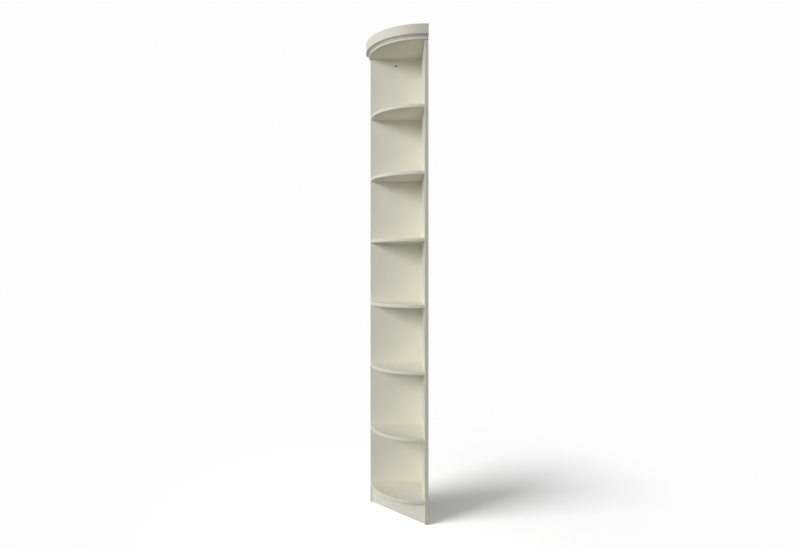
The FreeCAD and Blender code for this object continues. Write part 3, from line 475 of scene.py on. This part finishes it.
def round_rings(outline):
    """Rings of a round outline, by depths and radii."""
    return [(depth, [radius] * SCREW_SEGMENTS) for depth, radius in outline]


def tip_rings(length, tip):
    return round_rings((length - short, radius) for short, radius in tip)


def thread(start, end, root, crest, pitch, steps):
    """Rings of a screw thread, with its crest on a helix, dying away at both ends."""
    count = round((end - start) / pitch * steps)
    rings = []
    for row in range(count + 1):
        depth = start + (end - start) * row / count
        fade = min(1.0, (depth - start) / pitch, (end - depth) / pitch)
        radii = []
        for index in range(SCREW_SEGMENTS):
            turn = (depth / pitch - index / SCREW_SEGMENTS) % 1.0
            ridge = max(0.0, 1.0 - RIDGE_SLOPE * abs(turn - 0.5))
            radii.append(root + (crest - root) * ridge * fade)
        rings.append((depth, radii))
    return rings


def connecting_screw(board):
    """Countersunk screw with a hexagon socket, a plain shank in the board, and a coarse thread."""
    rings = round_rings(SCREW_SOCKET_END)
    rings += [(depth, hexagon(across)) for depth, across in SCREW_SOCKET_FLATS]
    rings += round_rings(SCREW_HEAD)
    rings += round_rings([(board - SCREW_SHANK_BEVEL, SCREW_SHANK_RADIUS), (board, SCREW_NECK_RADIUS)])
    rings += thread(board + SCREW_THREAD_RUN_IN, SCREW_LENGTH - SCREW_THREAD_RUN_OUT, **SCREW_THREAD)
    return rings + tip_rings(SCREW_LENGTH, SCREW_TIP)


def wood_screw(length):
    """Small countersunk screw with a cross recess and a pointed, threaded body."""
    rings = round_rings(SMALL_RECESS_END)
    rings += [(depth, cross(arm, half_width)) for depth, arm, half_width in SMALL_RECESS_ARMS]
    rings += round_rings(SMALL_HEAD)
    rings += thread(SMALL_THREAD_START, length - SMALL_THREAD_RUN_OUT, **SMALL_THREAD)
    return rings + tip_rings(length, SMALL_TIP)


def fluted_dowel():
    """Dowel with bevelled ends and glue grooves along its sides."""
    flutes = [DOWEL_RADIUS - DOWEL_GROOVE * (index % 2) for index in range(DOWEL_SEGMENTS)]
    end = [DOWEL_RADIUS - DOWEL_BEVEL] * DOWEL_SEGMENTS
    return [(0.0, end), (DOWEL_BEVEL, flutes), (DOWEL_LENGTH - DOWEL_BEVEL, flutes), (DOWEL_LENGTH, end)]


def turned_points(rings):
    """Points of one piece: the middle of its first ring, all the rings, and the middle of its last ring."""
    points = [Vector((0.0, 0.0, rings[0][0]))]
    for depth, radii in rings:
        for index, radius in enumerate(radii):
            angle = 2 * math.pi * index / len(radii)
            points.append(Vector((radius * math.cos(angle), radius * math.sin(angle), depth)))
    points.append(Vector((0.0, 0.0, rings[-1][0])))
    return points


def turned_faces(rings, first):
    """Faces over those points, when the first of them has this number."""
    segments = len(rings[0][1])
    last_ring = first + 1 + (len(rings) - 1) * segments
    last = last_ring + segments
    faces = []
    for index in range(segments):
        after = (index + 1) % segments
        faces.append((first, first + 1 + after, first + 1 + index))
        for row in range(len(rings) - 1):
            here = first + 1 + row * segments
            below = here + segments
            faces.append((here + index, here + after, below + after, below + index))
        faces.append((last, last_ring + index, last_ring + after))
    return faces


def make_turned(node, slot, rings, heads, towards):
    """One mesh of like turned pieces, which stand for a CAD node. Each lies along towards from its head."""
    points = turned_points(rings)
    upright = towards.to_track_quat("Z", "Y").to_matrix().to_4x4()
    vertices, along, faces = [], [], []
    for number, head in enumerate(heads):
        place = Matrix.Translation(head) @ upright @ Matrix.Rotation(number * TURN_STEP, 4, "Z")
        faces += turned_faces(rings, len(vertices))
        vertices += [place @ point for point in points]
        along += [point + Vector((PATTERN_STEP * number, 0.0, 0.0)) for point in points]
    name = node + "_detail"
    mesh = bpy.data.meshes.new(name)
    mesh.from_pydata(vertices, [], faces)
    kept = mesh.attributes.new("along", "FLOAT_VECTOR", "POINT")
    kept.data.foreach_set("vector", [number for point in along for number in point])
    mesh.shade_smooth()
    mesh.set_sharp_from_angle(angle=SHARP_ANGLE)
    mesh.materials.append(FINISHES[slot])
    piece = bpy.data.objects.new(name, mesh)
    bpy.context.scene.collection.objects.link(piece)
    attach(piece, BODY)
    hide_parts(node)


def make_connecting_screws():
    screw = connecting_screw(BOARD)
    heads = [Vector((x, 0.0, z)) for z in SHELF_MIDDLES for x in SCREW_PLACES]
    make_turned("back_shelf_screws", "zinc_steel", screw, heads, INTO_BACK)
    heads = [Vector((0.0, y, z)) for z in SHELF_MIDDLES for y in SCREW_PLACES]
    make_turned("side_shelf_screws", "zinc_steel", screw, heads, INTO_SIDE)
    heads = [Vector((BOARD_MIDDLE, 0.0, z)) for z in CORNER_SCREW_HEIGHTS]
    make_turned("corner_joint_screws", "zinc_steel", screw, heads, INTO_BACK)
    heads = [Vector((x, BOARD_MIDDLE, TOP_FACE)) for x in SCREW_PLACES]
    heads += [Vector((BOARD_MIDDLE, y, TOP_FACE)) for y in SCREW_PLACES]
    make_turned("top_panel_screws", "zinc_steel", connecting_screw(TOP_BOARD), heads, DOWN)


def make_wood_screws():
    heads = []
    for angle in CORNICE_SCREW_ANGLES:
        turn = math.radians(angle)
        heads.append(Vector((INNER_CORNER - CORNICE_SCREW_REACH * math.cos(turn),
                             INNER_CORNER - CORNICE_SCREW_REACH * math.sin(turn), CORNICE_FOOT_FACE)))
    make_turned("cornice_screws", "zinc_steel", wood_screw(CORNICE_SCREW_LENGTH), heads, DOWN)
    screw = wood_screw(BATTEN_SCREW_LENGTH)
    far, near = BATTEN_SCREW_PLACES
    heads = [Vector((far, near, BATTEN_FOOT)), Vector((near, far, BATTEN_FOOT))]
    make_turned("batten_shelf_screws", "zinc_steel", screw, heads, UP)
    far, near = PLINTH_SCREW_PLACES
    heads = [Vector((far, near, BATTEN_MIDDLE)), Vector((near, far, BATTEN_MIDDLE))]
    make_turned("batten_plinth_screws", "zinc_steel", screw, heads, INTO_PLINTH)


def make_dowels():
    dowel = fluted_dowel()
    seat = DOWEL_SEAT - BOARD
    ends = [Vector((DOWEL_PLACE, seat, z)) for z in SHELF_MIDDLES]
    make_turned("back_shelf_dowels", "beech", dowel, ends, INTO_BACK)
    ends = [Vector((seat, DOWEL_PLACE, z)) for z in SHELF_MIDDLES]
    make_turned("side_shelf_dowels", "beech", dowel, ends, INTO_SIDE)
    ends = [Vector((BOARD_MIDDLE, seat, z + CORNER_DOWEL_RISE)) for z in CORNER_SCREW_HEIGHTS]
    make_turned("corner_joint_dowels", "beech", dowel, ends, INTO_BACK)
    top_seat = TOP_FACE - TOP_BOARD + DOWEL_SEAT
    ends = [Vector((DOWEL_PLACE, BOARD_MIDDLE, top_seat)), Vector((BOARD_MIDDLE, DOWEL_PLACE, top_seat))]
    make_turned("top_panel_dowels", "beech", dowel, ends, DOWN)


def seen_rays(tree):
    """1 for rays that show the backdrop: from the camera, or by way of gloss or glass."""
    path = tree.add("ShaderNodeLightPath")
    seen = tree.math("MAXIMUM", path.outputs["Is Camera Ray"], path.outputs["Is Glossy Ray"])
    return tree.math("MAXIMUM", seen, path.outputs["Is Transmission Ray"])


def make_floor_material():
    made, tree = new_material("studio_floor")
    seen = seen_rays(tree)
    albedo = tree.spread(seen, WHOLE, (FLOOR_ALBEDO, FLOOR_CAMERA_ALBEDO))
    diffuse = tree.add("ShaderNodeBsdfDiffuse", Color=albedo)
    lift = tree.add("ShaderNodeEmission", Strength=tree.math("MULTIPLY", seen, FLOOR_LIFT))
    lit = tree.add("ShaderNodeAddShader")
    tree.feed(lit, 0, diffuse.outputs[0])
    tree.feed(lit, 1, lift.outputs[0])
    backdrop = tree.add("ShaderNodeEmission", Strength=BACKDROP_LEVEL)
    place = tree.add("ShaderNodeTexCoord").outputs["Object"]
    reach = tree.add("ShaderNodeVectorMath", {"operation": "LENGTH"}, Vector=place)
    fade = tree.add("ShaderNodeMapRange", {"interpolation_type": "SMOOTHSTEP"}, Value=reach.outputs["Value"],
                    From_Min=FADE_START, From_Max=FADE_END)
    mixed = tree.add("ShaderNodeMixShader", Fac=tree.math("MULTIPLY", fade.outputs[0], seen))
    tree.feed(mixed, 1, lit.outputs[0])
    tree.feed(mixed, 2, backdrop.outputs[0])
    tree.finish("ShaderNodeOutputMaterial", mixed)
    return made


def make_floor():
    mesh = bpy.data.meshes.new("studio_floor")
    reach = FLOOR_HALF_WIDTH
    corners = [(-reach, -reach, 0.0), (reach, -reach, 0.0), (reach, reach, 0.0), (-reach, reach, 0.0)]
    mesh.from_pydata(corners, [], [(0, 1, 2, 3)])
    mesh.materials.append(make_floor_material())
    floor = bpy.data.objects.new("studio_floor", mesh)
    floor.location.z = -FLOOR_DROP
    bpy.context.scene.collection.objects.link(floor)
    floor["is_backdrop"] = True


def make_surround():
    world = bpy.data.worlds.new("studio")
    bpy.context.scene.world = world
    tree = Tree(world)
    even = tree.add("ShaderNodeBackground", Color=rgba(WHITE), Strength=SURROUND_LEVEL)
    backdrop = tree.add("ShaderNodeBackground", Color=rgba(WHITE), Strength=BACKDROP_LEVEL)
    mixed = tree.add("ShaderNodeMixShader", Fac=seen_rays(tree))
    tree.feed(mixed, 1, even.outputs[0])
    tree.feed(mixed, 2, backdrop.outputs[0])
    tree.finish("ShaderNodeOutputWorld", mixed)


def lit_by(lit, shown):
    """Whether a lamp that lights the floor, the unit, or the unit's boards alone, reaches this object."""
    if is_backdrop(shown):
        return lit == "floor"
    of_zinc = FINISHES["zinc_steel"].name in shown.data.materials
    return lit == "unit" or (lit == "boards" and not of_zinc)


def make_lamp(name, left, up, distance, level, width, height, lit, bounces):
    turn, rise = math.radians(left), math.radians(up)
    towards = Vector((-math.sin(turn) * math.cos(rise), -math.cos(turn) * math.cos(rise), math.sin(rise)))
    data = bpy.data.lights.new(name, "AREA")
    data.shape = "RECTANGLE"
    data.size = width
    data.size_y = height
    data.energy = level * (math.pi * distance) ** 2
    if not bounces:
        data.cycles.max_bounces = 0
    lamp = bpy.data.objects.new(name, data)
    lamp.location = Vector(LAMP_TARGET) + towards * distance
    lamp.rotation_euler = (-towards).to_track_quat("-Z", "Y").to_euler()
    bpy.context.scene.collection.objects.link(lamp)
    reached = bpy.data.collections.new(name + "_reach")
    for shown in bpy.context.scene.objects:
        if shown.type == "MESH" and lit_by(lit, shown):
            reached.objects.link(shown)
    lamp.light_linking.receiver_collection = reached


def make_camera():
    data = bpy.data.cameras.new("camera")
    data.sensor_fit = "HORIZONTAL"
    data.sensor_width = CAMERA_SENSOR
    data.lens = CAMERA_LENS
    data.shift_x, data.shift_y = CAMERA_SHIFT
    camera = bpy.data.objects.new("camera", data)
    camera.location = CAMERA_PLACE
    camera.rotation_euler = CAMERA_TURN
    bpy.context.scene.collection.objects.link(camera)
    bpy.context.scene.camera = camera


for node in frame["nodes"].values():
    for slot in node.material_slots:
        slot.material = FINISHES[slot.material.name]

make_connecting_screws()
make_wood_screws()
make_dowels()
make_camera()
make_floor()
make_surround()
for lamp in LAMPS:
    make_lamp(*lamp)

bpy.context.scene.view_settings.view_transform = "Standard"
